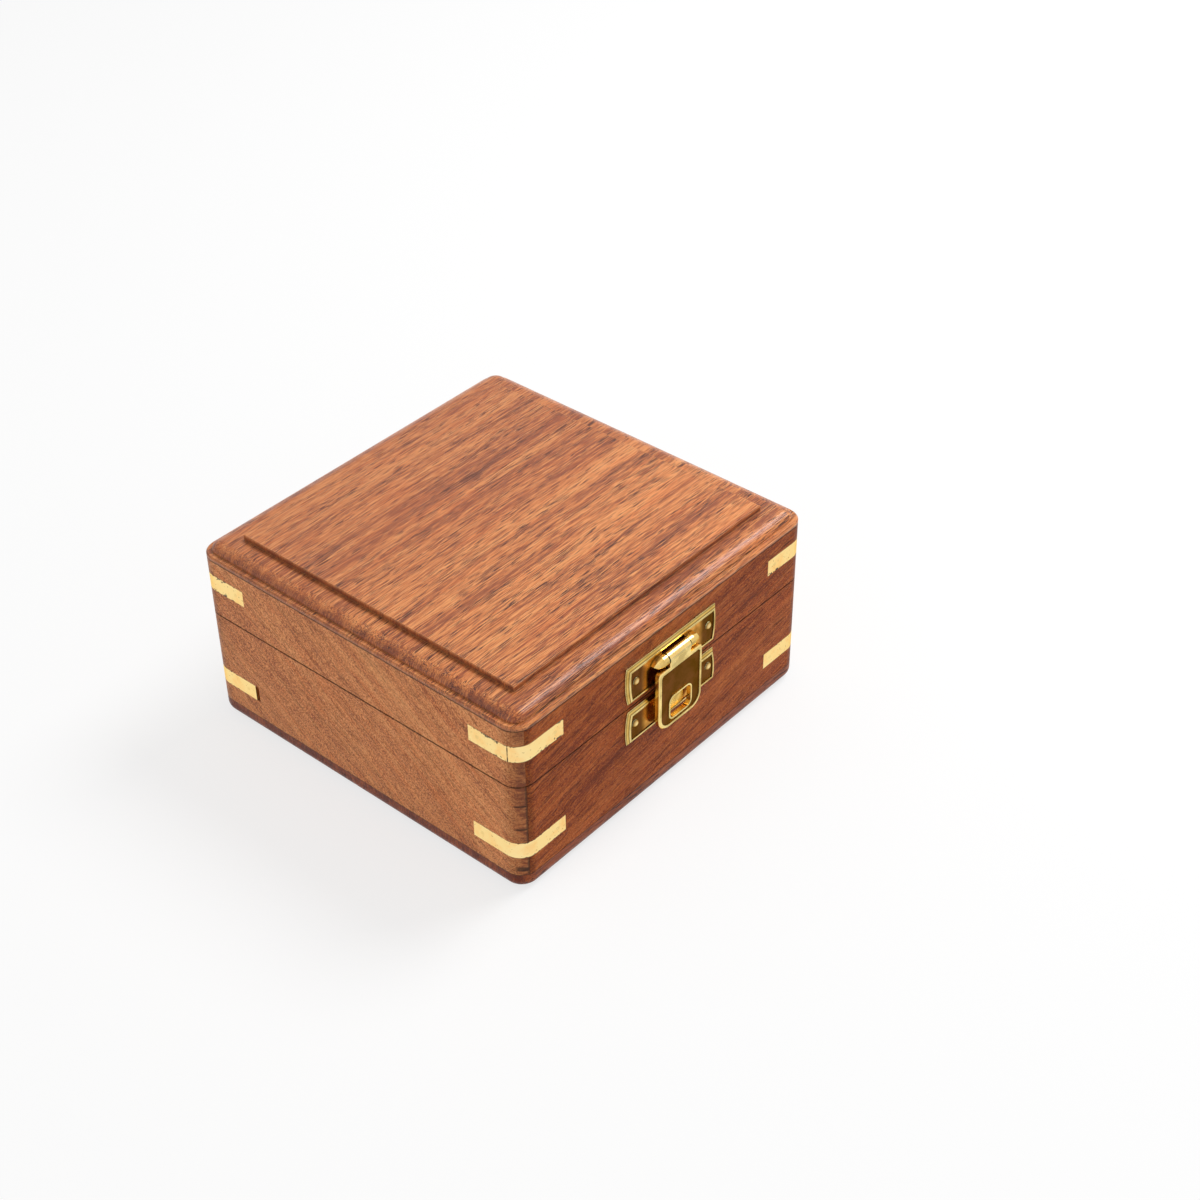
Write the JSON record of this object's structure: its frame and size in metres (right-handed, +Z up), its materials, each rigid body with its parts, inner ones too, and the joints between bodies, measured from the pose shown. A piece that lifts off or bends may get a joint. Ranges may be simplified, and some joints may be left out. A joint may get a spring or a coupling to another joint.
{
  "type": "compass box",
  "caption": "Square hardwood box with a moulded hinged lid, flush brass corner straps and a stamped brass drop latch; a felted round recess holds a pocket compass.",
  "frame": {"origin": "centre of the footprint on the table", "axes": "+Z up, -Y towards the latch, +X to the right when the latch is faced"},
  "size_m": [0.11, 0.1127, 0.0555],
  "materials": {
    "wood_top": "satin varnish",
    "wood_bottom": "satin varnish",
    "wood_ends": "satin varnish",
    "wood_sides": "satin varnish",
    "wood_cradle": "satin varnish",
    "felt": "napped felt",
    "strap_brass": "brushed flush with the wood",
    "pin_brass": "filed flush",
    "plate_brass": "polished, lacquered",
    "tongue_brass": "polished, lacquered",
    "nail_brass": "polished",
    "hinge_brass": "satin",
    "screw_brass": "satin"
  },
  "bodies": {
    "base": {"base_bottom_board": "wood_bottom", "base_front_board": "wood_ends", "base_back_board": "wood_ends", "base_left_board": "wood_sides", "base_right_board": "wood_sides", "compass_cradle": "wood_cradle", "recess_felt": "felt", "base_strap_front_left": "strap_brass", "base_strap_front_right": "strap_brass", "base_strap_back_left": "strap_brass", "base_strap_back_right": "strap_brass", "catch_plate": "plate_brass", "catch_lug": "tongue_brass", "base_hinge_leaf_left": "hinge_brass", "base_hinge_leaf_right": "hinge_brass", "hinge_pins": "hinge_brass"},
    "lid": {"lid_top_board": "wood_top", "lid_front_board": "wood_ends", "lid_back_board": "wood_ends", "lid_left_board": "wood_sides", "lid_right_board": "wood_sides", "lid_felt": "felt", "lid_strap_front_left": "strap_brass", "lid_strap_front_right": "strap_brass", "lid_strap_back_left": "strap_brass", "lid_strap_back_right": "strap_brass", "latch_plate": "plate_brass", "latch_pin": "nail_brass", "lid_hinge_leaf_left": "hinge_brass", "lid_hinge_leaf_right": "hinge_brass"},
    "latch_tongue": {"latch_tongue": "tongue_brass"}
  },
  "joints": [
    {"name": "lid_hinge", "type": "hinge", "parent": "base", "child": "lid", "pos_m": [0, 0.0533, 0.0332], "axis": [-1, 0, 0], "range_deg": [0, 105]},
    {"name": "latch_swing", "type": "hinge", "parent": "lid", "child": "latch_tongue", "pos_m": [0, -0.0562, 0.0424], "axis": [-1, 0, 0], "range_deg": [-3, 150]}
  ]
}
